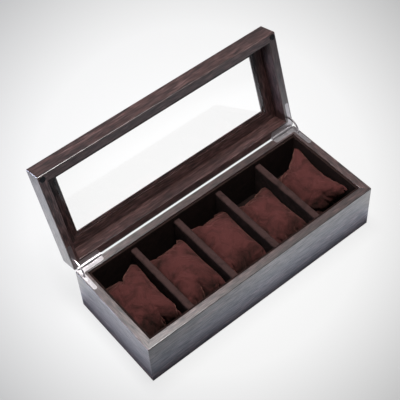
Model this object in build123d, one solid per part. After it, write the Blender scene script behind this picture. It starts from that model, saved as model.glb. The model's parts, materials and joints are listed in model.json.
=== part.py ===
"""Five-compartment watch box with a glass lid, carried by two L-shaped stop hinges.

Frame: X runs along the box, Y from the front towards the hinges, Z up, in millimetres.
The origin is the centre of the underside. Everything on the lid is drawn with the lid
shut and is then turned about the hinge axis to its open stop, which is the rest pose.
"""
from build123d import *
from math import asin, cos, degrees, radians, sin
import os

# ---- case ----
case_length = 300.0
case_width = 121.0
case_height = 61.5          # underside of the felt to the rim
wall = 9.0
edge_round = 1.0            # rounding of the veneered outer edges
rim_round = 0.4             # rounding of the rim's inner edge
felt_thickness = 1.0
felt_inset = 3.0            # felt edge to the outer face of the walls
floor_thickness = 4.0
floor_lap = 4.0             # width of the rebate that the floor panel sits in
lining_thickness = 2.5
lining_drop = 1.5           # rim to the top of the lining

# ---- compartments ----
compartments = 5
divider_thickness = 8.0
divider_drop = 7.5          # rim to the top of a divider
divider_round = 2.5         # rounding of a divider's padded top edge

# ---- pillows ----
pillow_side_gap = 0.8       # pillow to divider
pillow_end_room = 10.0      # compartment depth that a pillow leaves free
pillow_seat_gap = 0.3
pillow_thickness = 43.0
pillow_ear = 5.0            # how far the seam's corners stand out beyond the middle of the ends
pillow_waist = 1.0          # how far the sides pull in between the corners
pillow_corner = 3.5         # cut-off corners of the seam
pillow_tilt = 4.0           # how far one side of the last pillow rides up, squeezed in askew
pillow_rings = 3            # outlines above the seam, and as many below it
pillow_crown = 78.0         # slope of the swell at the last outline, in degrees
side_fullness = 3.0         # 1 swells like a circle, and more is boxier
end_fullness = 1.3
# where each pillow lies in its end room, from -1 at the front to 1 at the back
pillow_places = (0.9, 0.0, 0.2, -0.9, 0.4)

# ---- lid ----
lid_height = 22.5
seam = 0.6                  # rim to rim with the lid shut
open_angle = 106.0
top_frame_thickness = 4.0
top_frame_lap = 4.5         # width of the rebate that the top frame sits in
window_border = 24.6        # outer face of the lid to the edge of the window
window_round = 0.6
glass_thickness = 2.0
glass_lap = 4.0             # width of the rebate that holds the pane
bumper_radius = 3.3
bumper_round = 0.3
bumper_clearance = 0.05     # bumper to rim with the lid shut

# ---- hinges ----
axis_out = 0.5              # back face to the hinge axis
leaf_thickness = 1.5
side_leg = 31.0             # leaf length along the end wall
back_leg = 32.0             # leaf length along the back wall, from the end face
leaf_outer_margin = 1.5     # wood left outside a side leg
leaf_inner_margin = 3.0     # wood left inside a side leg
back_leg_margin = 2.0       # wood left inside a back leg
leaf_corner_round = 3.0
leaf_inside_round = 1.5
knuckles = 3
barrel_length = 28.0
knuckle_radius = 2.1
knuckle_gap = 0.15          # between neighbouring knuckles
knuckle_clearance = 0.3     # round the barrel
pin_radius = 0.9
pin_clearance = 0.05
pin_head_radius = 1.4
pin_head_length = 0.7
arm_radius = 11.5           # hinge axis to the middle of a stop arm
arm_depth = 2.0             # radial width of an arm
arm_thickness = 1.2
arm_head_width = 2.6        # the heads are wider than the slots and stop the lid
arm_head_length = 1.0
arm_stop_gap = 0.15         # head to leaf with the lid at its stop
slot_clearance = 0.2
pocket_clearance = 0.35
screw_head_radius = 1.6
screw_shank_radius = 0.9
screw_length = 8.0
screw_end_inset = 3.6       # leg end to its outer screw
screw_spacing = 9.0         # screw to screw along a side leg
screw_spacing_back = 13.0   # screw to screw along a back leg
knuckle_root = 0.5          # how far a knuckle's web reaches into its leaf
pocket_roundness = 0.9      # corner radius of an arm's pocket, as a share of half its width

# ---- modelling ----
overcut = 1.0               # how far a cutter passes beyond what it cuts
hair = 0.01                 # slack when edges are picked by their place
half_turn = 180.0

# ---- sizes that follow ----
half_length = case_length / 2
half_width = case_width / 2
inner_half_length = half_length - wall
inner_half_width = half_width - wall
hinge_y = half_width + axis_out
hinge_z = case_height + seam / 2
hinge_axis = Axis((0, hinge_y, hinge_z), (1, 0, 0))
seam_plane = Plane(origin=(0, 0, hinge_z))
lid_bottom = case_height + seam
lid_top = lid_bottom + lid_height
frame_bottom = lid_top - top_frame_thickness
floor_top = felt_thickness + floor_thickness
seat_z = floor_top + lining_thickness
side_leg_width = wall - leaf_outer_margin - leaf_inner_margin
back_leg_width = wall - back_leg_margin
leaf_outer_x = half_length - leaf_outer_margin
leaf_inner_x = leaf_outer_x - side_leg_width
leaf_tip_x = half_length - back_leg
leaf_front_y = half_width - side_leg
leaf_back_y = half_width - back_leg_width
arm_x = (leaf_outer_x + leaf_inner_x) / 2


def block(x0, x1, y0, y1, z0, z1):
    """An axis-aligned block between two corners."""
    centre = ((x0 + x1) / 2, (y0 + y1) / 2, (z0 + z1) / 2)
    return Pos(*centre) * Box(x1 - x0, y1 - y0, z1 - z0)


def centred_block(half_x, half_y, z0, z1):
    return block(-half_x, half_x, -half_y, half_y, z0, z1)


def left_and_right(shape):
    """The right-hand piece and its mirror image on the left."""
    return {"right": shape, "left": shape.mirror(Plane.YZ)}


def opened(shape, share=1.0):
    """Turn a piece drawn with the lid shut towards the open stop."""
    return shape.rotate(hinge_axis, -open_angle * share)


def mitred(ring, outer_x, outer_y):
    """Split a rectangular ring at its corners into front, back, left and right pieces."""
    bounds = ring.bounding_box()
    low = bounds.min.Z - overcut
    depth = bounds.max.Z + overcut - low
    ridge = outer_x - outer_y
    x, y = outer_x + overcut, outer_y + overcut
    outlines = {
        "front": [(-x, -y), (x, -y), (ridge, 0), (-ridge, 0)],
        "back": [(x, y), (-x, y), (-ridge, 0), (ridge, 0)],
        "left": [(-x, y), (-x, -y), (-ridge, 0)],
        "right": [(x, -y), (x, y), (ridge, 0)],
    }
    pieces = {}
    for side, points in outlines.items():
        wedge = extrude(Pos(0, 0, low) * make_face(Polyline(*points, close=True)), depth)
        pieces[side] = ring & wedge
    return pieces


# ---- hinge ----
def leaf_outline():
    """The L of a right-hand leaf, seen from above, with a round end on its side leg."""
    radius = side_leg_width / 2
    side = Pos(arm_x, (half_width + leaf_front_y + radius) / 2) * Rectangle(
        side_leg_width, side_leg - radius)
    tip = Pos(arm_x, leaf_front_y + radius) * Circle(radius)
    back = Pos((leaf_outer_x + leaf_tip_x) / 2, (half_width + leaf_back_y) / 2) * Rectangle(
        leaf_outer_x - leaf_tip_x, back_leg_width)
    outline = side + tip + back
    inside = outline.vertices().sort_by_distance((leaf_inner_x, leaf_back_y, 0))[0]
    outline = fillet(inside, leaf_inside_round)
    end = outline.vertices().sort_by_distance((leaf_tip_x, leaf_back_y, 0))[0]
    return fillet(end, leaf_corner_round)


def along_axis(radius, x0, x1):
    """A cylinder on the hinge axis."""
    return Pos((x0 + x1) / 2, hinge_y, hinge_z) * Rot(0, 90, 0) * Cylinder(radius, x1 - x0)


def knuckle_span(index):
    pitch = barrel_length / knuckles
    start = leaf_tip_x + index * pitch
    return start, start + pitch


def arc_bar(inner, outer, start, sweep, width):
    """A bar bent round the hinge axis: angles run from +Y towards +Z."""
    near = CenterArc((0, 0), inner, start, sweep)
    far = CenterArc((0, 0), outer, start, sweep)
    section = make_face([near, Line(near @ 1, far @ 1), far, Line(far @ 0, near @ 0)])
    place = Plane(origin=(arm_x, hinge_y, hinge_z), x_dir=(0, 1, 0), z_dir=(1, 0, 0))
    return extrude(place * section, width / 2, both=True)


def arm_angles():
    """Where an arm's head starts and where the arm ends, from the rim, in degrees."""
    plate_depth = seam / 2 + leaf_thickness
    inner = arm_radius - arm_depth / 2
    head = degrees(asin((plate_depth + arm_stop_gap) / inner))
    return head, head + degrees(arm_head_length / arm_radius)


def stop_arm():
    """A curved arm with a wide head at each end, drawn with the lid shut."""
    head, end = arm_angles()
    reach = open_angle / 2 + end
    inner = arm_radius - arm_depth / 2
    outer = arm_radius + arm_depth / 2
    arm = arc_bar(inner, outer, half_turn - reach, 2 * reach, arm_thickness)
    for start in (half_turn - reach, half_turn + reach - (end - head)):
        arm += arc_bar(inner, outer, start, end - head, arm_head_width)
    return arm


def arm_slot():
    """The slot that an arm slides through in a leaf."""
    deepest = seam / 2 + leaf_thickness
    inner = arm_radius - arm_depth / 2
    near = inner * cos(asin(deepest / inner)) - slot_clearance
    far = arm_radius + arm_depth / 2 + slot_clearance
    width = arm_thickness + 2 * slot_clearance
    return block(arm_x - width / 2, arm_x + width / 2, hinge_y - far, hinge_y - near,
                 case_height - leaf_thickness - overcut, case_height + overcut)


def arm_pocket():
    """The routed pocket under a leaf that an arm drops into as the lid shuts."""
    reach = radians(open_angle / 2 + arm_angles()[1])
    far = arm_radius + arm_depth / 2 + pocket_clearance
    near = (arm_radius - arm_depth / 2) * cos(reach) - pocket_clearance
    depth = (arm_radius + arm_depth / 2) * sin(min(reach, radians(90))) + pocket_clearance
    half = arm_head_width / 2 + pocket_clearance
    pocket = block(arm_x - half, arm_x + half, hinge_y - far, hinge_y - near, hinge_z - depth, case_height)
    return fillet(pocket.edges().filter_by(Axis.Z), half * pocket_roundness)


def screw_places():
    """Centres of a right-hand leaf's screws, as (x, y)."""
    side_y = leaf_front_y + screw_end_inset
    back_y = (half_width + leaf_back_y) / 2
    back_x = leaf_tip_x + screw_end_inset
    return [(arm_x, side_y), (arm_x, side_y + screw_spacing),
            (back_x, back_y), (back_x + screw_spacing_back, back_y)]


def screw():
    """A countersunk screw, with its head's face at z = 0."""
    cone = screw_head_radius - screw_shank_radius
    profile = Polyline((0, 0), (screw_head_radius, 0), (screw_shank_radius, -cone),
                       (screw_shank_radius, -screw_length), (0, -screw_length), close=True)
    return revolve(Plane.XZ * make_face(profile), Axis.Z)


def at_screws(shape):
    """Copies of a shape at each screw of a right-hand case leaf."""
    return [Pos(x, y, case_height) * shape for x, y in screw_places()]


def hinge_leaf(own):
    """A right-hand case leaf with its own knuckles, open for the others."""
    plate = extrude(Pos(0, 0, case_height) * leaf_outline(), -leaf_thickness)
    for index in range(knuckles):
        x0, x1 = knuckle_span(index)
        if index in own:
            x0, x1 = x0 + knuckle_gap / 2, x1 - knuckle_gap / 2
            plate += block(x0, x1, half_width - knuckle_root, hinge_y,
                           case_height - leaf_thickness, case_height)
            plate += along_axis(knuckle_radius, x0, x1)
    for index in range(knuckles):
        if index not in own:
            x0, x1 = knuckle_span(index)
            plate -= along_axis(knuckle_radius + knuckle_clearance,
                                x0 - knuckle_gap / 2, x1 + knuckle_gap / 2)
    barrel_end = leaf_tip_x + barrel_length
    plate -= along_axis(pin_radius + pin_clearance, leaf_tip_x - overcut, barrel_end + overcut)
    plate -= along_axis(pin_head_radius + knuckle_clearance, barrel_end,
                        barrel_end + pin_head_length + knuckle_clearance)
    plate -= arm_slot()
    for cutter in at_screws(screw()):
        plate -= cutter
    return plate


def hinge_pin():
    """The pin, with a peened head at each end of the barrel."""
    start, end = leaf_tip_x, leaf_tip_x + barrel_length
    pin = along_axis(pin_radius, start - pin_head_length, end + pin_head_length)
    pin += along_axis(pin_head_radius, start - pin_head_length, start)
    pin += along_axis(pin_head_radius, end, end + pin_head_length)
    return pin


def hinge_housing():
    """What the right-hand case hinge takes out of the wood."""
    room = pin_head_length + knuckle_clearance
    cutters = [extrude(Pos(0, 0, case_height) * leaf_outline(), -leaf_thickness), arm_pocket()]
    cutters.append(along_axis(knuckle_radius + knuckle_clearance, leaf_tip_x - room,
                              leaf_tip_x + barrel_length + room))
    return cutters + at_screws(screw())


def in_lid(shape):
    """The lid's copy of something on the case's rim, with the lid shut."""
    return shape.mirror(seam_plane)


# ---- case ----
def rounded_ring(z0, z1, round_top, round_bottom):
    """The walls as one ring, with its veneered edges rounded."""
    ring = fillet(centred_block(half_length, half_width, z0, z1).edges().filter_by(Axis.Z), edge_round)
    ends = ring.faces().sort_by(Axis.Z)
    edges = (ends[-1].edges() if round_top else []) + (ends[0].edges() if round_bottom else [])
    ring = fillet(edges, edge_round)
    return ring - centred_block(inner_half_length, inner_half_width, z0 - overcut, z1 + overcut)


def softened(ring, z):
    """Ease the ring's inner edge at the rim."""
    inner = [e for e in ring.edges() if abs(e.center().Z - z) < hair and e.length > wall
             and abs(e.center().X) < inner_half_length + hair
             and abs(e.center().Y) < inner_half_width + hair]
    return fillet(inner, rim_round)


def case_walls():
    ring = softened(rounded_ring(felt_thickness, case_height, True, True), case_height)
    ring -= centred_block(inner_half_length + floor_lap, inner_half_width + floor_lap,
                          felt_thickness - overcut, floor_top)
    for cutter in hinge_housing():
        ring -= cutter
        ring -= cutter.mirror(Plane.YZ)
    return {f"case_{side}_wall": piece for side, piece in mitred(ring, half_length, half_width).items()}


def case_floor():
    return centred_block(inner_half_length + floor_lap, inner_half_width + floor_lap,
                         felt_thickness, floor_top)


def underside_felt():
    felt = centred_block(half_length - felt_inset, half_width - felt_inset, 0, felt_thickness)
    return fillet(felt.edges().filter_by(Axis.Z), felt_inset)


def linings():
    """Velvet-covered boards: a floor sheet, two long sides, and two ends between them."""
    top = case_height - lining_drop
    x, y = inner_half_length, inner_half_width
    t = lining_thickness
    return {
        "lining_floor": centred_block(x, y, floor_top, seat_z),
        "lining_front": block(-x, x, -y, -y + t, seat_z, top),
        "lining_back": block(-x, x, y - t, y, seat_z, top),
        "lining_left": block(-x, -x + t, -y + t, y - t, seat_z, top),
        "lining_right": block(x - t, x, -y + t, y - t, seat_z, top),
    }


# ---- compartments ----
compartment_depth = 2 * (inner_half_width - lining_thickness)
inside_length = 2 * (inner_half_length - lining_thickness)
compartment_width = (inside_length - (compartments - 1) * divider_thickness) / compartments
compartment_pitch = compartment_width + divider_thickness


def compartment_x(index):
    """Centre of a compartment, counted from the left."""
    return (index - (compartments - 1) / 2) * compartment_pitch


def divider(index):
    """A padded divider to the right of compartment index."""
    x = compartment_x(index) + compartment_pitch / 2
    half = divider_thickness / 2
    board = block(x - half, x + half, -compartment_depth / 2, compartment_depth / 2,
                  seat_z, case_height - divider_drop)
    top = board.faces().sort_by(Axis.Z)[-1]
    return fillet(top.edges().filter_by(Axis.Y), divider_round)


def pillow_outline(slope, tilt):
    """One outline of a pillow, where its swell has a slope: 0 at the seam, which has eared corners."""
    rise = sin(radians(slope)) / sin(radians(pillow_crown))
    share = cos(radians(slope))
    half_wide = compartment_width / 2 - pillow_side_gap
    x = half_wide * share ** (1 / side_fullness)
    y = (compartment_depth - pillow_end_room) / 2 * share ** (1 / end_fullness)
    corner = pillow_corner * share
    quarter = [(x - pillow_waist * share, 0), (x, y - corner), (x - corner, y), (0, y - pillow_ear * share)]
    half = quarter + [(-px, py) for px, py in quarter[2::-1]]
    outline = half + [(px, -py) for px, py in half[-2:0:-1]]
    return [(px, py, pillow_thickness / 2 * rise + tilt * px / half_wide) for px, py in outline]


def pillow(index):
    """A filled cushion, pushed into its compartment: widest at its seam, swollen above and below."""
    tilt = pillow_tilt if index == compartments - 1 else 0.0
    steps = range(-pillow_rings, pillow_rings + 1)
    outlines = [pillow_outline(pillow_crown * step / pillow_rings, tilt) for step in steps]
    panels = [outlines[0], outlines[-1]]
    for low, high in zip(outlines, outlines[1:]):
        for i in range(len(low)):
            panels += [(low[i - 1], low[i], high[i]), (low[i - 1], high[i], high[i - 1])]
    cushion = Solid(Shell([make_face(Polyline(*panel, close=True)) for panel in panels]))
    place = pillow_places[index % len(pillow_places)] * pillow_end_room / 2
    rest = seat_z + pillow_seat_gap - cushion.bounding_box().min.Z
    return Pos(compartment_x(index), place, rest) * cushion


# ---- lid ----
def lid_rails():
    ring = softened(rounded_ring(lid_bottom, lid_top, True, True), lid_bottom)
    ring -= centred_block(inner_half_length + top_frame_lap, inner_half_width + top_frame_lap,
                          frame_bottom, lid_top + overcut)
    for cutter in hinge_housing():
        upper = in_lid(cutter)
        ring -= upper
        ring -= upper.mirror(Plane.YZ)
    return {f"lid_{side}_rail": piece for side, piece in mitred(ring, half_length, half_width).items()}


def top_frame():
    """Mitred boards round the window, rebated underneath for the pane."""
    window_x, window_y = half_length - window_border, half_width - window_border
    ring = centred_block(inner_half_length + top_frame_lap, inner_half_width + top_frame_lap,
                         frame_bottom, lid_top)
    ring -= centred_block(window_x, window_y, frame_bottom - overcut, lid_top + overcut)
    lips = [e for e in ring.edges() if abs(e.center().Z - lid_top) < hair
            and abs(e.center().X) < window_x + hair and abs(e.center().Y) < window_y + hair]
    ring = fillet(lips, window_round)
    ring -= centred_block(window_x + glass_lap, window_y + glass_lap, frame_bottom - overcut,
                          frame_bottom + glass_thickness)
    return {f"top_frame_{side}": piece for side, piece in mitred(ring, half_length, half_width).items()}


def glass_pane():
    return centred_block(half_length - window_border + glass_lap, half_width - window_border + glass_lap,
                         frame_bottom, frame_bottom + glass_thickness)


def bumper():
    """A soft dot at the lid's front corner, which lands on the case's rim."""
    height = seam - bumper_clearance
    dot = Pos(half_length - wall / 2, -half_width + wall / 2, lid_bottom - height / 2) * Cylinder(
        bumper_radius, height)
    return chamfer(dot.edges().sort_by(Axis.Z)[0], bumper_round)


def build():
    """Every node of the box, by name."""
    case_knuckles = range(0, knuckles, 2)
    lid_knuckles = range(1, knuckles, 2)
    nodes = {}
    nodes.update(case_walls())
    nodes["case_floor_panel"] = case_floor()
    nodes["underside_felt"] = underside_felt()
    nodes.update(linings())
    for index in range(compartments - 1):
        nodes[f"divider_{index + 1}"] = divider(index)
    for index in range(compartments):
        nodes[f"pillow_{index + 1}"] = pillow(index)
    for side, leaf in left_and_right(hinge_leaf(case_knuckles)).items():
        nodes[f"case_hinge_leaf_{side}"] = leaf
    for side, pin in left_and_right(hinge_pin()).items():
        nodes[f"hinge_pin_{side}"] = pin
    case_screws = at_screws(screw())
    nodes["case_hinge_screws"] = Compound(children=case_screws + [s.mirror(Plane.YZ) for s in case_screws])

    lid = {}
    lid.update(lid_rails())
    lid.update(top_frame())
    lid["glass_pane"] = glass_pane()
    for side, dot in left_and_right(bumper()).items():
        lid[f"bumper_{side}"] = dot
    for side, leaf in left_and_right(in_lid(hinge_leaf(lid_knuckles))).items():
        lid[f"lid_hinge_leaf_{side}"] = leaf
    lid_screws = [in_lid(s) for s in at_screws(screw())]
    lid["lid_hinge_screws"] = Compound(children=lid_screws + [s.mirror(Plane.YZ) for s in lid_screws])
    for name, shape in lid.items():
        nodes[name] = opened(shape)

    for side, arm in left_and_right(stop_arm()).items():
        nodes[f"stop_arm_{side}"] = opened(arm, 0.5)
    return nodes


os.makedirs("parts", exist_ok=True)
for name, shape in build().items():
    export_step(shape, f"parts/{name}.step")
    print(name, round(shape.volume, 1))
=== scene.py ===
"""Dresses the watch box: lacquered veneer, velvet, filled cushions, plated hinges, glass and a studio.

Everything is in metres, in the frame's own axes: X along the box, Y towards the hinges, Z up.
The box rests with its lid open, so finishes on the lid are laid out with the lid turned shut.
"""
import json
from math import cos, radians, sin

import bpy
import numpy as np
from mathutils import Matrix, Vector


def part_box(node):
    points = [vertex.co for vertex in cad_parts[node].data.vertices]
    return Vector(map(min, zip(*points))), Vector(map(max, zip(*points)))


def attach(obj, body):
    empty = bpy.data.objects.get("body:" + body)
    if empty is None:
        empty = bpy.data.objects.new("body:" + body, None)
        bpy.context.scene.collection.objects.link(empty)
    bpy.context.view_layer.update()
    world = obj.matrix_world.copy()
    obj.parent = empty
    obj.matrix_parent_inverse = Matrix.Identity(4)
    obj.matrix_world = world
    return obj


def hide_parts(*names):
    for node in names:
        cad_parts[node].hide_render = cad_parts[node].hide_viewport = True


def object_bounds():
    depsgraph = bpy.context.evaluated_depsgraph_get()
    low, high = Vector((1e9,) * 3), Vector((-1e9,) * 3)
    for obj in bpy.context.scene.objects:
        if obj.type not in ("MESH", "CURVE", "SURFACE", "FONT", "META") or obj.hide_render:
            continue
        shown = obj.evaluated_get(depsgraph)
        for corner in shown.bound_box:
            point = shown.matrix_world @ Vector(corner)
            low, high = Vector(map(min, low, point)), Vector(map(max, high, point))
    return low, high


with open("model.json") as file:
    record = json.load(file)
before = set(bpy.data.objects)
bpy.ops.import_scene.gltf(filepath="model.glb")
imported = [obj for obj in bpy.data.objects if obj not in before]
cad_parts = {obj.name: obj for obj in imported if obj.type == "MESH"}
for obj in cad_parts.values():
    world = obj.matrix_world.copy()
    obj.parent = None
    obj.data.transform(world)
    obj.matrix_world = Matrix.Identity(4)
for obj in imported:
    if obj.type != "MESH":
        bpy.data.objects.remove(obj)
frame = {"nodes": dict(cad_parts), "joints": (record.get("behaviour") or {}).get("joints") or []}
cad_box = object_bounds()

MM = 0.001

# ---- places taken from the frame ----
joints = {joint["name"]: joint for joint in frame["joints"]}
hinge_at = Vector(joints["lid_hinge"]["pos_m"])
open_angle = radians(-joints["lid_hinge"]["range_deg"][0])
unfold = Matrix.Translation(hinge_at) @ Matrix.Rotation(open_angle, 4, "X") @ Matrix.Translation(-hinge_at)
lining_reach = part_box("lining_floor")[1]
case_reach = (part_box("case_right_wall")[1].x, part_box("case_back_wall")[1].y)

# ---- how thickly the lacquer lies, from none at 0 to the outer faces' at 1 ----
INSIDE_LACQUER = 0.3        # on the lid's inside, and where a wall meets its lining
RIM_LACQUER = 0.85          # on the lid's rim
LACQUER_STEP = 0.1 * MM     # over which one thickness gives way to the next
# What counts as inside, as half a length, half a width and a height. In the case it is the room that
# the lining fills, and in the lid it is all but the outermost millimetre.
case_inside = Vector((lining_reach.x + 0.1 * MM, lining_reach.y + 0.1 * MM, hinge_at.z + 10 * MM))
lid_inside = Vector((case_reach[0] - 1 * MM, case_reach[1] - 1 * MM, hinge_at.z + 22 * MM))
lid_rim_z = hinge_at.z + 0.4 * MM


# ---- materials ----
def linear(hex_colour):
    """An sRGB hex colour as the linear RGBA that shaders work in."""
    parts = [int(hex_colour[i:i + 2], 16) / 255 for i in (1, 3, 5)]
    return tuple(c / 12.92 if c <= 0.04045 else ((c + 0.055) / 1.055) ** 2.4 for c in parts) + (1.0,)


def add(tree, kind, inputs=None, stops=(), **settings):
    """Adds a node. An input given as a socket is linked, and any other value is set.

    Stops are a colour ramp's, each a place and a hex colour.
    """
    node = tree.nodes.new(kind)
    for name, value in settings.items():
        setattr(node, name, value)
    for name, value in (inputs or {}).items():
        if isinstance(value, bpy.types.NodeSocket):
            tree.links.new(value, node.inputs[name])
        else:
            node.inputs[name].default_value = value
    while stops and len(node.color_ramp.elements) < len(stops):
        node.color_ramp.elements.new(0.5)
    for number, (place, colour) in enumerate(stops):
        node.color_ramp.elements[number].position = place
        node.color_ramp.elements[number].color = linear(colour)
    return node


def new_material(name):
    """An empty material: its tree and its shader, already joined to the output."""
    material = bpy.data.materials.new(name)
    material.use_nodes = True
    tree = material.node_tree
    shader = tree.nodes["Principled BSDF"]
    return material, tree, shader


def board_space(tree, on_lid):
    """Object coordinates, with the lid's pieces turned shut."""
    place = add(tree, "ShaderNodeTexCoord").outputs["Object"]
    if not on_lid:
        return place
    turn = add(tree, "ShaderNodeMapping", {"Vector": place, "Location": unfold.translation,
                                           "Rotation": unfold.to_euler()})
    return turn.outputs["Vector"]


def stretched_noise(tree, place, grain, spacing, length, seed, detail=3.0, distortion=0.0):
    """Noise drawn out along the grain: its streaks are spacing apart and about length long."""
    across, along = 1 / spacing, 1 / length
    scale = (along, across, across) if grain == "X" else (across, along, across)
    laid = add(tree, "ShaderNodeMapping", {"Vector": place, "Scale": scale,
                                           "Location": (seed, 2 * seed, 3 * seed)})
    noise = add(tree, "ShaderNodeTexNoise", {"Vector": laid.outputs["Vector"], "Scale": 1.0, "Detail": detail,
                                             "Roughness": 0.6, "Distortion": distortion})
    return noise.outputs["Fac"]


def lacquer_depth(tree, place, on_lid):
    """How thickly the lacquer lies: full outside, thin inside, and between them on the lid's rim."""
    reach = add(tree, "ShaderNodeVectorMath", {0: place}, operation="ABSOLUTE")
    past = add(tree, "ShaderNodeVectorMath",
               {0: reach.outputs["Vector"], 1: lid_inside if on_lid else case_inside}, operation="SUBTRACT")
    past = add(tree, "ShaderNodeSeparateXYZ", {"Vector": past.outputs["Vector"]}).outputs
    beside = add(tree, "ShaderNodeMath", {0: past["X"], 1: past["Y"]}, operation="MAXIMUM")
    outside = add(tree, "ShaderNodeMath", {0: beside.outputs[0], 1: past["Z"]}, operation="MAXIMUM")
    depth = add(tree, "ShaderNodeMapRange", {"Value": outside.outputs[0], "From Max": LACQUER_STEP,
                                             "To Min": INSIDE_LACQUER})
    if not on_lid:
        return depth.outputs["Result"]
    height = add(tree, "ShaderNodeSeparateXYZ", {"Vector": place}).outputs["Z"]
    rim = add(tree, "ShaderNodeMapRange", {"Value": height, "From Min": lid_rim_z,
                                           "From Max": lid_rim_z + LACQUER_STEP,
                                           "To Min": RIM_LACQUER, "To Max": 0.0})
    deepest = add(tree, "ShaderNodeMath", {0: depth.outputs["Result"], 1: rim.outputs["Result"]},
                  operation="MAXIMUM")
    return deepest.outputs[0]


def wenge(name, grain, on_lid=False, seed=0.0):
    """Wenge veneer, open-pored and sprayed with satin lacquer: near-black brown with a red cast.

    The coat breaks over pores and fibres, which gives a fine grain to the gloss. Real ones are about
    0.2 mm wide, and are drawn at 0.7 and 0.8 mm so that they show.
    """
    material, tree, shader = new_material(name)
    place = board_space(tree, on_lid)
    bands = stretched_noise(tree, place, grain, 8 * MM, 150 * MM, seed, distortion=0.3)
    fibres = stretched_noise(tree, place, grain, 0.8 * MM, 12 * MM, seed + 20, detail=2.0)
    pores = stretched_noise(tree, place, grain, 0.7 * MM, 12 * MM, seed + 40, detail=1.0)

    wood = add(tree, "ShaderNodeValToRGB", {"Fac": fibres},
               stops=((0.34, "#100605"), (0.45, "#2c1614"), (0.55, "#4c2f2c"), (0.68, "#6f5653")))
    tone = add(tree, "ShaderNodeValToRGB", {"Fac": bands}, stops=((0.34, "#a09290"), (0.64, "#ffffff")))
    colour = add(tree, "ShaderNodeMix",
                 {"Factor": 1.0, "A": wood.outputs["Color"], "B": tone.outputs["Color"]},
                 data_type="RGBA", blend_type="MULTIPLY")
    tree.links.new(colour.outputs["Result"], shader.inputs["Base Color"])

    in_pores = add(tree, "ShaderNodeMapRange", {"Value": pores, "From Min": 0.34, "From Max": 0.52,
                                                "To Min": 0.7})
    on_fibres = add(tree, "ShaderNodeMapRange", {"Value": fibres, "From Min": 0.36, "From Max": 0.60,
                                                 "To Min": 0.8})
    coat = add(tree, "ShaderNodeMath", {0: in_pores.outputs["Result"], 1: on_fibres.outputs["Result"]},
               operation="MULTIPLY")
    coat = add(tree, "ShaderNodeMath", {0: coat.outputs[0], 1: lacquer_depth(tree, place, on_lid)},
               operation="MULTIPLY")
    tree.links.new(coat.outputs[0], shader.inputs["Coat Weight"])
    gloss = add(tree, "ShaderNodeMapRange", {"Value": fibres, "From Min": 0.3, "From Max": 0.7,
                                             "To Min": 0.65, "To Max": 0.40})
    tree.links.new(gloss.outputs["Result"], shader.inputs["Roughness"])

    relief = add(tree, "ShaderNodeMath", {0: in_pores.outputs["Result"], 1: fibres}, operation="ADD")
    raised = add(tree, "ShaderNodeBump", {"Height": relief.outputs[0], "Distance": 0.05 * MM,
                                          "Strength": 1.0})
    tree.links.new(raised.outputs["Normal"], shader.inputs["Normal"])
    tree.links.new(raised.outputs["Normal"], shader.inputs["Coat Normal"])
    shader.inputs["Specular IOR Level"].default_value = 0.3
    shader.inputs["Coat Roughness"].default_value = 0.30
    # A lacquer's own IOR is about 1.5. Built up in coats it mirrors more. Its value is found by trial.
    shader.inputs["Coat IOR"].default_value = 2.2
    return material


def velvet(name, dark, light, tint, mottle=9 * MM, sheen=0.5, creases=0.0, shade_painted_by_height=0.0,
           painted_shade_span=(20 * MM, 50 * MM)):
    """Short-pile woven velvet: matt and deep, the nap lying over in patches, with light in its edges.

    Painted shade: darker at the lower of two heights and lighter at the upper, where light from
    above falls. The pile's fibres are a few hundredths of a millimetre thick, and are drawn in tufts
    of 0.35 mm so that they show.
    """
    material, tree, shader = new_material(name)
    place = add(tree, "ShaderNodeTexCoord").outputs["Object"]
    nap = add(tree, "ShaderNodeTexNoise", {"Vector": place, "Scale": 1 / mottle, "Detail": 4.0,
                                           "Roughness": 0.6, "Distortion": 0.8}).outputs["Fac"]
    tufts = add(tree, "ShaderNodeTexNoise", {"Vector": place, "Scale": 1 / (0.35 * MM),
                                             "Detail": 2.0}).outputs["Fac"]
    height = add(tree, "ShaderNodeSeparateXYZ", {"Vector": place}).outputs["Z"]
    # Painted shade: darker below the lower height, lighter above the upper, as light from above falls
    painted_height_shade = add(tree, "ShaderNodeMapRange", {"Value": height, "From Min": painted_shade_span[0],
                                               "From Max": painted_shade_span[1], "To Min": -shade_painted_by_height,
                                               "To Max": shade_painted_by_height}).outputs["Result"]
    tone = add(tree, "ShaderNodeMath", {0: nap, 1: 0.75, 2: painted_height_shade}, operation="MULTIPLY_ADD")
    tone = add(tree, "ShaderNodeMath", {0: tufts, 1: 0.25, 2: tone.outputs[0]}, operation="MULTIPLY_ADD")
    colour = add(tree, "ShaderNodeValToRGB", {"Fac": tone.outputs[0]}, stops=((0.35, dark), (0.65, light)))
    tree.links.new(colour.outputs["Color"], shader.inputs["Base Color"])

    crease = add(tree, "ShaderNodeTexNoise", {"Vector": place, "Scale": 1 / (16 * MM), "Detail": 3.0,
                                              "Distortion": 1.2}).outputs["Fac"]
    relief = add(tree, "ShaderNodeMath", {0: crease, 1: creases, 2: tufts}, operation="MULTIPLY_ADD")
    raised = add(tree, "ShaderNodeBump", {"Height": relief.outputs[0], "Distance": 0.12 * MM,
                                          "Strength": 0.8})
    tree.links.new(raised.outputs["Normal"], shader.inputs["Normal"])
    shader.inputs["Roughness"].default_value = 0.95
    shader.inputs["Specular IOR Level"].default_value = 0.15
    shader.inputs["Sheen Weight"].default_value = sheen
    shader.inputs["Sheen Roughness"].default_value = 0.4
    shader.inputs["Sheen Tint"].default_value = linear(tint)
    return material


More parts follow.
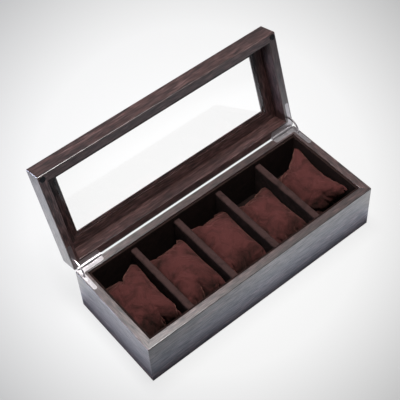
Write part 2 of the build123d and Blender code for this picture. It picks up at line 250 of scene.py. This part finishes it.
def nickel(name):
    """Buffed nickel plate on steel: bright, with faint swirls from the wheel, 1.5 mm across."""
    material, tree, shader = new_material(name)
    place = add(tree, "ShaderNodeTexCoord").outputs["Object"]
    swirl = add(tree, "ShaderNodeTexNoise", {"Vector": place, "Scale": 1 / (1.5 * MM), "Detail": 5.0,
                                             "Distortion": 1.5}).outputs["Fac"]
    gloss = add(tree, "ShaderNodeMapRange", {"Value": swirl, "To Min": 0.28, "To Max": 0.46})
    raised = add(tree, "ShaderNodeBump", {"Height": swirl, "Distance": 0.01 * MM, "Strength": 0.3})
    tree.links.new(gloss.outputs["Result"], shader.inputs["Roughness"])
    tree.links.new(raised.outputs["Normal"], shader.inputs["Normal"])
    shader.inputs["Base Color"].default_value = linear("#c2bdbf")
    shader.inputs["Metallic"].default_value = 1.0
    return material


def glass(name):
    """Float glass: colourless, mirrors a little, and lets the lamps through to what lies under it."""
    material, tree, shader = new_material(name)
    shader.inputs["Base Color"].default_value = linear("#ffffff")
    shader.inputs["Roughness"].default_value = 0.0
    shader.inputs["IOR"].default_value = 1.5
    shader.inputs["Specular IOR Level"].default_value = 0.2
    shader.inputs["Transmission Weight"].default_value = 1.0
    lamplight = add(tree, "ShaderNodeLightPath").outputs["Is Shadow Ray"]
    clear = add(tree, "ShaderNodeBsdfTransparent", {"Color": linear("#f4f8fa")})
    pane = add(tree, "ShaderNodeMixShader", {0: lamplight, 1: shader.outputs["BSDF"],
                                             2: clear.outputs["BSDF"]})
    tree.links.new(pane.outputs["Shader"], tree.nodes["Material Output"].inputs["Surface"])
    return material


def speckled(name, spot, dark, light, roughness, **noise):
    """A material with two tones in spots of one size: its tree, its shader and the pattern."""
    material, tree, shader = new_material(name)
    place = add(tree, "ShaderNodeTexCoord").outputs["Object"]
    spots = add(tree, "ShaderNodeTexNoise", {"Vector": place, "Scale": 1 / spot, **noise}).outputs["Fac"]
    colour = add(tree, "ShaderNodeValToRGB", {"Fac": spots}, stops=((0.3, dark), (0.7, light)))
    tree.links.new(colour.outputs["Color"], shader.inputs["Base Color"])
    shader.inputs["Roughness"].default_value = roughness
    return material, tree, shader, spots


def cast_polyurethane():
    """Cast black polyurethane: glossy, and slightly uneven as a poured dot is."""
    return speckled("cast_polyurethane", 2 * MM, "#0b0b0c", "#151517", roughness=0.18)[0]


def wool_felt():
    """Pressed black wool felt: quite matt, with fibres tangled in tufts of 0.8 mm."""
    material, tree, shader, tufts = speckled("wool_felt", 0.8 * MM, "#121214", "#2c2c30", roughness=1.0,
                                             Detail=6.0, Distortion=2.0)
    raised = add(tree, "ShaderNodeBump", {"Height": tufts, "Distance": 0.2 * MM, "Strength": 1.0})
    tree.links.new(raised.outputs["Normal"], shader.inputs["Normal"])
    return material


def fibreboard():
    """Medium-density fibreboard, pressed from wood fibre: dull brown with a speckle of 0.6 mm."""
    return speckled("fibreboard", 0.6 * MM, "#6b5138", "#8a6c4e", roughness=0.85, Detail=4.0)[0]


def finish_cad(nodes, material):
    """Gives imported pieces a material."""
    for name in nodes:
        for slot in frame["nodes"][name].material_slots:
            slot.material = material


def named(part):
    """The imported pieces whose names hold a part."""
    return [name for name in frame["nodes"] if part in name]


def dress_cad():
    """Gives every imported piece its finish."""
    for seed, (side, grain) in enumerate((("front", "X"), ("back", "X"), ("left", "Y"), ("right", "Y"))):
        finish_cad([f"case_{side}_wall"], wenge(f"wenge_case_{side}", grain, seed=seed))
        finish_cad([f"lid_{side}_rail"], wenge(f"wenge_lid_{side}", grain, True, seed + 4.5))
        finish_cad([f"top_frame_{side}"], wenge(f"wenge_frame_{side}", grain, True, seed + 8.5))
    finish_cad(named("lining_"), velvet("lining_velvet", "#170e0c", "#291b18", "#7d6a62", sheen=0.05))
    # Painted light and shade on the dividers: lighter on their tops above 53.6 mm, darker down their sides
    # below 52 mm
    finish_cad(named("divider_"), velvet("divider_velvet", "#120908", "#3b2a28", "#9c8480", sheen=0.15,
                                         shade_painted_by_height=0.13, painted_shade_span=(52 * MM, 53.6 * MM)))
    finish_cad([name for name in named("hinge") + named("stop_arm") if "screws" not in name],
               nickel("nickel_plate"))
    finish_cad(["glass_pane"], glass("float_glass"))
    finish_cad(named("bumper"), cast_polyurethane())
    finish_cad(["underside_felt"], wool_felt())
    finish_cad(["case_floor_panel"], fibreboard())


# ---- screws ----
SCREW = {"Head radius": 1.6 * MM, "Head depth": 0.7 * MM, "Shank radius": 0.9 * MM, "Length": 8 * MM,
         "Slot width": 0.4 * MM, "Slot span": 1.9 * MM, "Slot depth": 0.5 * MM}


def screw_tree(material):
    """Geometry nodes that put a countersunk cross-head screw on every point, its face at the point."""
    tree = bpy.data.node_groups.new("cross_head_screws", "GeometryNodeTree")
    tree.interface.new_socket("Geometry", in_out="INPUT", socket_type="NodeSocketGeometry")
    for size in SCREW:
        tree.interface.new_socket(size, in_out="INPUT", socket_type="NodeSocketFloat")
    tree.interface.new_socket("Geometry", in_out="OUTPUT", socket_type="NodeSocketGeometry")
    size = add(tree, "NodeGroupInput").outputs

    def lowered(shape, drop):
        """The shape moved down by a length."""
        down = add(tree, "ShaderNodeMath", {0: drop, 1: -1.0}, operation="MULTIPLY")
        place = add(tree, "ShaderNodeCombineXYZ", {"Z": down.outputs[0]})
        moved = add(tree, "GeometryNodeTransform", {"Geometry": shape,
                                                    "Translation": place.outputs["Vector"]})
        return moved.outputs["Geometry"]

    head = add(tree, "GeometryNodeMeshCone",
               {"Vertices": 24, "Radius Top": size["Head radius"], "Radius Bottom": size["Shank radius"],
                "Depth": size["Head depth"]})
    shank = add(tree, "GeometryNodeMeshCone",
                {"Vertices": 16, "Radius Top": size["Shank radius"], "Radius Bottom": size["Shank radius"],
                 "Depth": size["Length"]})
    # Each bar of the cross stands half above the face, so it is made twice as tall as it cuts.
    double = add(tree, "ShaderNodeMath", {0: size["Slot depth"], 1: 2.0}, operation="MULTIPLY")
    recessed = add(tree, "GeometryNodeMeshBoolean",
                   {"Mesh 1": lowered(head.outputs["Mesh"], size["Head depth"])}, operation="DIFFERENCE")
    for x, y in (("Slot span", "Slot width"), ("Slot width", "Slot span")):
        bar = add(tree, "ShaderNodeCombineXYZ", {"X": size[x], "Y": size[y], "Z": double.outputs[0]})
        slot = add(tree, "GeometryNodeMeshCube", {"Size": bar.outputs["Vector"]})
        tree.links.new(slot.outputs["Mesh"], recessed.inputs["Mesh 2"])
    screw = add(tree, "GeometryNodeJoinGeometry")
    for part in (recessed.outputs["Mesh"], lowered(shank.outputs["Mesh"], size["Length"])):
        tree.links.new(part, screw.inputs["Geometry"])
    turn = add(tree, "FunctionNodeRandomValue", {"Seed": 7}, data_type="FLOAT")
    turn.inputs[3].default_value = radians(90)      # the largest turn, where several inputs share a name
    upright = add(tree, "ShaderNodeCombineXYZ", {"Z": turn.outputs[1]})
    placed = add(tree, "GeometryNodeInstanceOnPoints",
                 {"Points": size["Geometry"], "Instance": screw.outputs["Geometry"],
                  "Rotation": upright.outputs["Vector"]})
    solid = add(tree, "GeometryNodeRealizeInstances", {"Geometry": placed.outputs["Instances"]})
    finished = add(tree, "GeometryNodeSetMaterial", {"Geometry": solid.outputs["Geometry"],
                                                     "Material": material})
    add(tree, "NodeGroupOutput", {"Geometry": finished.outputs["Geometry"]})
    return tree


def screw_faces(node, to_face):
    """The middle of each screw's face, in a frame where the faces look up."""
    level, same_screw = 0.1 * MM, 2 * SCREW["Head radius"] + MM
    points = [to_face @ vertex.co for vertex in frame["nodes"][node].data.vertices]
    top = max(point.z for point in points)
    rings = []
    for point in (p for p in points if top - p.z < level):
        ring = next((ring for ring in rings if (ring[0] - point).length < same_screw), None)
        if ring is None:
            rings.append([point])
        else:
            ring.append(point)
    ends = [(np.min(ring, axis=0), np.max(ring, axis=0)) for ring in rings]
    return [tuple((low + high) / 2) for low, high in ends]


def make_screws(body, tree, from_face):
    """One mesh with all the hinge screws of a body, their faces flush with the leaves."""
    node, piece = f"{body}_hinge_screws", f"{body}_screws"
    seed_points = bpy.data.meshes.new(piece)
    seed_points.from_pydata(screw_faces(node, from_face.inverted()), [], [])
    screws = bpy.data.objects.new(piece, seed_points)
    bpy.context.collection.objects.link(screws)
    spread = screws.modifiers.new("screws", "NODES")
    spread.node_group = tree
    for item in tree.interface.items_tree:
        if item.name in SCREW:
            spread[item.identifier] = SCREW[item.name]
    mesh = bpy.data.meshes.new_from_object(screws.evaluated_get(bpy.context.evaluated_depsgraph_get()))
    screws.modifiers.remove(spread)
    mesh.transform(from_face)
    screws.data = mesh
    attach(screws, body)
    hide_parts(node)


# ---- cushions ----
WORK = 20.0             # the cloth is worked twenty times its size, where the solver is steady
CELL = 2.0 * MM         # one mesh of the cloth
START_Z = 18 * MM       # how far above the seat the flat cover starts
FRAMES = 60             # filling, pushing in and settling
CLOSED_BY = 0.65        # the share of the frames in which the sides close in
START_GAP = 34 * MM     # how far from a cushion's middle the sides start
SIDE_GAP = 24.3 * MM    # and how far from it the dividers stop it

# One cover for each compartment, left to right: its flat size, the way its sides bow and its corners lift as
# it is pushed in (front left, front right, back left, back right), its roll and turn, and how full it is.
COVERS = (
    dict(width=75 * MM, depth=94 * MM, bow=0.0, lifts=(0.0, 4 * MM, 0.0, 16 * MM), fill=7.0, seed=113,
         shift=0.5 * MM),
    dict(width=76 * MM, depth=96 * MM, bow=-3 * MM, lifts=(0.0, 0.0, 0.0, 0.0), fill=9.0, seed=211),
    dict(width=76 * MM, depth=95 * MM, bow=-2 * MM, lifts=(-4 * MM, 0.0, 0.0, -4 * MM), fill=12.0, seed=311,
         stiffness=0.5),
    dict(width=74 * MM, depth=92 * MM, bow=0.0, lifts=(-6 * MM, 3 * MM, 0.0, 3 * MM), fill=6.0, seed=411,
         shift=-0.5 * MM),
    dict(width=74 * MM, depth=86 * MM, bow=1 * MM, lifts=(-6 * MM, 16 * MM, -5 * MM, 9 * MM), fill=6.0,
         seed=511, roll=-15, turn=5),
)


def sewn_cover(width, depth, bow, lifts, roll, turn, seed):
    """Two velvet panels that share their border, nearly flat, as they are sewn before filling."""
    rng = np.random.default_rng(seed)
    across, along = round(width / CELL), round(depth / CELL)
    front_left, front_right, back_left, back_right = lifts
    points, faces, number = [], [], {}
    for side in (1, -1):
        for j in range(along + 1):
            for i in range(across + 1):
                on_seam = i in (0, across) or j in (0, along)
                if side == -1 and on_seam:
                    number[side, i, j] = number[1, i, j]
                    continue
                u, v = 2 * i / across - 1, 2 * j / along - 1
                lift = (front_left * (1 - u) * (1 - v) + front_right * (1 + u) * (1 - v)
                        + back_left * (1 - u) * (1 + v) + back_right * (1 + u) * (1 + v)) / 4
                gap = 0.0 if on_seam else side * 0.5 * CELL
                rise = gap + bow * u ** 2 + lift * u ** 2 * (0.3 + 0.7 * v ** 2)
                number[side, i, j] = len(points)
                points.append((u * width / 2, v * depth / 2, rise))
        for j in range(along):
            for i in range(across):
                ring = [number[side, i + a, j + b] for a, b in ((0, 0), (1, 0), (1, 1), (0, 1))]
                faces.append(ring if side == 1 else ring[::-1])
    points = np.array(points) + rng.normal(0, 0.07 * CELL, (len(points), 3))
    rolled, turned = Matrix.Rotation(radians(roll), 3, "Y"), Matrix.Rotation(radians(turn), 3, "Z")
    placed = np.array(rolled) @ np.array(turned)
    mesh = bpy.data.meshes.new("cover")
    mesh.from_pydata([tuple(p) for p in (points @ placed.T + (0, 0, START_Z)) * WORK], [], faces)
    mesh.update()
    return mesh


def trough():
    """The seat and the two sides that a cushion is pushed between. The sides close in as it fills."""
    boards = []
    reach, height, below = 90 * MM, 90 * MM, 5 * MM
    outlines = {"seat": [(-reach, -reach, 0), (reach, -reach, 0), (reach, reach, 0), (-reach, reach, 0)]}
    for side in (-1, 1):
        outlines[f"side_{side}"] = [(0, side * reach, -below), (0, -side * reach, -below),
                                    (0, -side * reach, height), (0, side * reach, height)]
    for name, outline in outlines.items():
        mesh = bpy.data.meshes.new(name)
        mesh.from_pydata([tuple(Vector(p) * WORK) for p in outline], [], [(0, 1, 2, 3)])
        board = bpy.data.objects.new(name, mesh)
        bpy.context.collection.objects.link(board)
        board.modifiers.new("stop", "COLLISION")
        board.collision.thickness_outer = 0.6 * MM * WORK
        board.collision.cloth_friction = 5.0
        boards.append(board)
    for side, board in zip((-1, 1), boards[1:]):
        for place, when in ((START_GAP, 1), (SIDE_GAP, round(FRAMES * CLOSED_BY))):
            board.location.x = side * place * WORK
            board.keyframe_insert("location", frame=when)
    return boards


def filled(cover, pressure, stiffness):
    """Fills the cover and pushes it between the dividers, then keeps the shape it settles in."""
    boards = trough()
    soft = bpy.data.objects.new("cover", cover)
    bpy.context.collection.objects.link(soft)
    cloth = soft.modifiers.new("cloth", "CLOTH")
    weave = cloth.settings
    weave.quality = 8
    weave.mass = 0.3
    weave.tension_stiffness = weave.compression_stiffness = 15.0
    weave.shear_stiffness = 5.0
    weave.bending_stiffness = stiffness
    weave.air_damping = 1.0
    weave.use_pressure = True
    weave.uniform_pressure_force = pressure
    weave.effector_weights.gravity = 0.3
    cloth.collision_settings.distance_min = 0.4 * MM * WORK
    cloth.collision_settings.collision_quality = 4
    cloth.point_cache.frame_end = FRAMES
    for when in range(1, FRAMES + 1):
        bpy.context.scene.frame_set(when)
    settled = bpy.data.meshes.new_from_object(soft.evaluated_get(bpy.context.evaluated_depsgraph_get()))
    bpy.context.scene.frame_set(1)
    for piece in boards + [soft]:
        bpy.data.objects.remove(piece)
    return settled


def make_cushion(number, material, width, depth, bow, lifts, fill, seed, shift=0.0, roll=0.0, turn=0.0,
                 stiffness=0.05):
    """One loose cushion: sewn, filled, pushed between its dividers and set on its seat."""
    name = f"pillow_{number}"
    low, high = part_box(name)
    cover = sewn_cover(width, depth, bow, lifts, roll, turn, seed)
    mesh = filled(cover, fill, stiffness)
    points = np.array([vertex.co[:] for vertex in mesh.vertices]) / WORK
    points[:, :2] -= (points[:, :2].max(0) + points[:, :2].min(0)) / 2
    points += ((low[0] + high[0]) / 2, (low[1] + high[1]) / 2 + shift, low[2] - points[:, 2].min())
    mesh.vertices.foreach_set("co", points.astype(np.float32).ravel())
    mesh.update()
    mesh.polygons.foreach_set("use_smooth", [True] * len(mesh.polygons))
    mesh.materials.clear()
    mesh.materials.append(material)
    cushion = bpy.data.objects.new(f"cushion_{number}", mesh)
    bpy.context.collection.objects.link(cushion)
    finer = cushion.modifiers.new("finer", "SUBSURF")
    finer.levels = finer.render_levels = 1
    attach(cushion, name)
    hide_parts(name)


# ---- studio ----
CAMERA_AT = Vector((-0.39852, -0.49772, 0.91416))
CAMERA_AIM = Vector((-0.07144, -0.05364, 0.22033))
CAMERA_ROLL = radians(-4.04)
CAMERA_LENS = 92.48     # on a 36 mm sensor

FLOOR_SIZE = 6.0        # from its middle to each side
FLOOR_DROP = 0.2 * MM   # under the felt, so that the two faces don't flicker

# A pool of light painted into the floor's glow: an oval that points away from Y towards X and widens as it
# goes. It is sized and placed to look round from an earlier place of the camera, and stays put when the
# camera moves.
POOL_MIDDLE = Vector((32, 87, 0)) * MM
POOL_HEADING = radians(35.9)
POOL_STRETCH = 0.772    # its width, as a share of its length
POOL_WIDENS = 1.829     # how far along its heading it is twice as wide
POOL_TONES = ((0.0, "#fbfbfb"), (0.115, "#f8f8f8"), (0.195, "#f1f1f1"), (0.229, "#e4e4e4"),
              (0.323, "#b4b4b4"))
POOL_GLOW = 0.88        # the share of it that glows by itself. The rest is lit, and takes the box's shadow
THROUGH_GLASS = 0.08    # added to it through the pane, for what the glass takes away

# Painted reflection: what lacquer, metal and glass mirror of the floor, with the box's shade painted close
# by, then the lit floor, and dusk beyond. These tones are made up for the gloss, and aren't those of the
# floor in view.
PAINTED_REFLECTION_REACH = 250 * MM
PAINTED_REFLECTION_TONES = ((0.0, "#2c2f36"), (0.022, "#686e7c"), (0.064, "#d4dcf0"), (0.12, "#fafdff"),
                (0.7, "#f0f3fa"), (1.0, "#62656c"))
# A painted shadow, the box's own soft shadow, that lies before the box's left end, soft at its edge, and
# darkens what gloss mirrors.
PAINTED_SHADOW_AT = (-190 * MM, -200 * MM, 0.0)
PAINTED_SHADOW_REACH = (280 * MM, 180 * MM)
PAINTED_SHADOW_EDGE = (0.25, 1.0)     # where its painted shadow starts to fade and where it has gone, as shares of its reach
REFLECTION_PAST_SHADOW = 1.28          # how strongly gloss mirrors the floor past it, found by trial. White is 1


def place_camera():
    """Sets the camera up and makes it the scene's."""
    back = (CAMERA_AT - CAMERA_AIM).normalized()
    level = Vector((0, 0, 1)).cross(back).normalized()
    upright = back.cross(level)
    right = level * cos(CAMERA_ROLL) + upright * sin(CAMERA_ROLL)
    up = back.cross(right)
    camera = bpy.data.objects.new("camera", bpy.data.cameras.new("camera"))
    bpy.context.collection.objects.link(camera)
    turn = Matrix((right, up, back)).transposed().to_4x4()
    camera.matrix_world = Matrix.Translation(CAMERA_AT) @ turn
    camera.data.lens = CAMERA_LENS
    camera.data.clip_start = 0.01
    bpy.context.scene.camera = camera


def pool_light(tree, place, path):
    """The floor as it is seen: palest in the middle of its painted pool of light."""
    centred = add(tree, "ShaderNodeVectorMath", {0: place, 1: POOL_MIDDLE}, operation="SUBTRACT")
    turned = add(tree, "ShaderNodeMapping", {"Vector": centred.outputs["Vector"],
                                             "Rotation": (0, 0, POOL_HEADING)})
    turned = add(tree, "ShaderNodeVectorMath", {0: turned.outputs["Vector"], 1: (1.0, POOL_STRETCH, 1.0)},
                 operation="MULTIPLY")
    forward = add(tree, "ShaderNodeSeparateXYZ", {"Vector": turned.outputs["Vector"]}).outputs["Y"]
    wider = add(tree, "ShaderNodeMath", {0: forward, 1: 1 / (POOL_WIDENS * POOL_STRETCH), 2: 1.0},
                operation="MULTIPLY_ADD")
    reach = add(tree, "ShaderNodeVectorMath", {0: turned.outputs["Vector"]}, operation="LENGTH")
    radius = add(tree, "ShaderNodeMath", {0: reach.outputs["Value"], 1: wider.outputs[0]}, operation="DIVIDE")
    pale = add(tree, "ShaderNodeValToRGB", {"Fac": radius.outputs[0]}, stops=POOL_TONES)
    strength = add(tree, "ShaderNodeMath", {0: path["Is Transmission Ray"], 1: THROUGH_GLASS, 2: 1.0},
                   operation="MULTIPLY_ADD")
    glow = add(tree, "ShaderNodeEmission", {"Color": pale.outputs["Color"], "Strength": strength.outputs[0]})
    return glow.outputs["Emission"]


def painted_reflection(tree, place):
    """The floor as gloss mirrors it, a painted reflection: painted shade by how far it is from the case's
    walls, and a painted shadow on it.
    """
    away = add(tree, "ShaderNodeVectorMath", {0: place}, operation="ABSOLUTE")
    away = add(tree, "ShaderNodeVectorMath", {0: away.outputs["Vector"], 1: (*case_reach, 0.0)},
               operation="SUBTRACT")
    away = add(tree, "ShaderNodeVectorMath", {0: away.outputs["Vector"], 1: (0.0, 0.0, 0.0)},
               operation="MAXIMUM")
    away = add(tree, "ShaderNodeVectorMath", {0: away.outputs["Vector"]}, operation="LENGTH")
    away = add(tree, "ShaderNodeMapRange", {"Value": away.outputs["Value"], "From Max": PAINTED_REFLECTION_REACH})
    # Painted shade: the mirrored floor darker close to the case's walls
    tone = add(tree, "ShaderNodeValToRGB", {"Fac": away.outputs["Result"]}, stops=PAINTED_REFLECTION_TONES)
    # Painted shadow: the box's own shadow, darkening the mirrored floor before its left end
    painted_shadow = add(tree, "ShaderNodeVectorMath", {0: place, 1: PAINTED_SHADOW_AT}, operation="SUBTRACT")
    painted_shadow = add(tree, "ShaderNodeVectorMath",
               {0: painted_shadow.outputs["Vector"], 1: (1 / PAINTED_SHADOW_REACH[0], 1 / PAINTED_SHADOW_REACH[1], 0.0)},
               operation="MULTIPLY")
    painted_shadow = add(tree, "ShaderNodeVectorMath", {0: painted_shadow.outputs["Vector"]}, operation="LENGTH")
    painted_shadow = add(tree, "ShaderNodeMapRange", {"Value": painted_shadow.outputs["Value"], "From Min": PAINTED_SHADOW_EDGE[0],
                                            "From Max": PAINTED_SHADOW_EDGE[1], "To Max": REFLECTION_PAST_SHADOW})
    light = add(tree, "ShaderNodeEmission", {"Color": tone.outputs["Color"],
                                             "Strength": painted_shadow.outputs["Result"]})
    return light.outputs["Emission"]


def paint_floor():
    """Pale painted board: matt where the lamps light it, with its own glow and painted pool of light in view,
    and a painted reflection in gloss.
    """
    material, tree, shader = new_material("studio_floor")
    place = add(tree, "ShaderNodeTexCoord").outputs["Object"]
    path = add(tree, "ShaderNodeLightPath").outputs
    shader.inputs["Base Color"].default_value = linear("#efefef")
    shader.inputs["Roughness"].default_value = 0.9
    seen = add(tree, "ShaderNodeMath",
               {0: path["Is Camera Ray"], 1: POOL_GLOW, 2: path["Is Transmission Ray"]},
               operation="MULTIPLY_ADD", use_clamp=True)
    mixed = add(tree, "ShaderNodeMixShader", {0: path["Is Glossy Ray"], 1: shader.outputs["BSDF"],
                                              2: painted_reflection(tree, place)})
    mixed = add(tree, "ShaderNodeMixShader", {0: seen.outputs[0], 1: mixed.outputs["Shader"],
                                              2: pool_light(tree, place, path)})
    tree.links.new(mixed.outputs["Shader"], tree.nodes["Material Output"].inputs["Surface"])
    return material


def build_studio():
    """The floor that the box stands on, and a plain pale room round it."""
    corners = [(x * FLOOR_SIZE, y * FLOOR_SIZE, 0) for x, y in ((-1, -1), (1, -1), (1, 1), (-1, 1))]
    floor = bpy.data.meshes.new("studio_floor")
    floor.from_pydata(corners, [], [(0, 1, 2, 3)])
    floor.materials.append(paint_floor())
    floor_object = bpy.data.objects.new("studio_floor", floor)
    bpy.context.collection.objects.link(floor_object)
    floor_object.location.z = cad_box[0][2] - FLOOR_DROP
    world = bpy.data.worlds.new("studio")
    bpy.context.scene.world = world
    world.use_nodes = True
    room = world.node_tree.nodes["Background"]
    room.inputs["Color"].default_value = linear("#f1f1f4")
    room.inputs["Strength"].default_value = 0.16


def softbox(name, at, aim, width, height, watts, colour="#ffffff"):
    """A rectangular soft lamp, turned to what it lights."""
    lamp = bpy.data.lights.new(name, "AREA")
    lamp.shape = "RECTANGLE"
    lamp.size, lamp.size_y = width, height
    lamp.energy = watts
    lamp.color = linear(colour)[:3]
    box = bpy.data.objects.new(name, lamp)
    bpy.context.collection.objects.link(box)
    box.location = at
    box.rotation_euler = (Vector(aim) - Vector(at)).to_track_quat("-Z", "Y").to_euler()


dress_cad()
screws = screw_tree(nickel("screw_nickel"))
make_screws("case", screws, Matrix())
make_screws("lid", screws, unfold.inverted() @ Matrix.Rotation(radians(180), 4, "X"))
# Painted shade on the cushions: darker low down below 24 mm, lighter at their crowns above 52 mm
cushion_velvet = velvet("cushion_velvet", "#140d08", "#4b2725", "#a87468", mottle=15 * MM, creases=32.0,
                        shade_painted_by_height=0.13, painted_shade_span=(24 * MM, 52 * MM))
for number, cover in enumerate(COVERS, 1):
    make_cushion(number, cushion_velvet, **cover)
build_studio()
softbox("softbox_over", at=(0.0, 0.04, 1.3), aim=(0, 0, 0), width=0.3, height=0.6, watts=21)
softbox("softbox_left", at=(-0.6, 0.55, 0.12), aim=(-0.1, 0, 0.03), width=0.8, height=0.16, watts=8,
        colour="#dde5ff")
place_camera()
bpy.context.scene.view_settings.view_transform = "Standard"
